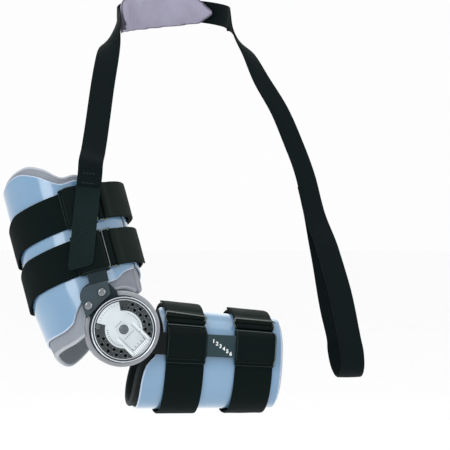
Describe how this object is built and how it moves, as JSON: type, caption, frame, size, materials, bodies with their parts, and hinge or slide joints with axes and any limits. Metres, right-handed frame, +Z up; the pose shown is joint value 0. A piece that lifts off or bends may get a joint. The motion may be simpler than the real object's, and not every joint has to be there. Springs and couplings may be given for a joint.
{
  "type": "hinged elbow brace with sling",
  "caption": "Two padded plastic arm cuffs joined by a side hinge with a range dial, held by buckled straps, with a webbing sling over a neck pad and round the wrist.",
  "frame": {"origin": "middle of the upper arm cuff's hollow, on its axis, where the upper arm sits in it", "axes": "+Z up as worn, +X towards the hand, -Y out of the outer side of the arm, towards the hinge dial"},
  "size_m": [0.3755, 0.2812, 0.4688],
  "materials": {
    "shell": "light blue, glossy, thermoformed",
    "foam": "grey closed-cell foam, matt",
    "plate": "dark slate, satin",
    "dial": "dark grey, satin",
    "label": "off-white, smooth",
    "bezel": "bright ring",
    "rivet": "polished",
    "strap": "black brushed loop fabric",
    "buckle": "dark wire ring, satin",
    "sleeve": "black padded fabric",
    "webbing": "black woven webbing",
    "tab": "dark ribbed hook tape",
    "pad": "lilac grey padded fabric"
  },
  "bodies": {
    "upper_arm": {"upper_shell": "shell", "upper_liner": "foam", "upper_bar": "plate", "hinge_plate": "plate", "dial_disc": "dial", "dial_label": "label", "dial_bezel": "bezel", "centre_rivet": "rivet", "stop_pin_1": "dial", "stop_pin_2": "dial", "tab_rivet_1": "rivet", "tab_rivet_2": "rivet", "hinge_pad": "foam", "upper_strap_1": "strap", "upper_strap_2": "strap", "upper_buckle_1": "buckle", "upper_buckle_2": "buckle", "upper_sleeve_1": "sleeve", "upper_sleeve_2": "sleeve", "sling_strap": "webbing", "sling_tab": "tab", "neck_pad": "pad"},
    "forearm": {"forearm_bar": "plate", "forearm_shell": "shell", "forearm_liner": "foam", "forearm_strap_1": "strap", "forearm_strap_2": "strap", "forearm_buckle_1": "buckle", "forearm_buckle_2": "buckle", "forearm_sleeve_1": "sleeve", "forearm_sleeve_2": "sleeve"}
  },
  "joints": [
    {"name": "elbow_flexion", "type": "hinge", "parent": "upper_arm", "child": "forearm", "pos_m": [0.03569, -0.06717, -0.06727], "axis": [0, -1, 0], "range_deg": [-45, 15]}
  ]
}
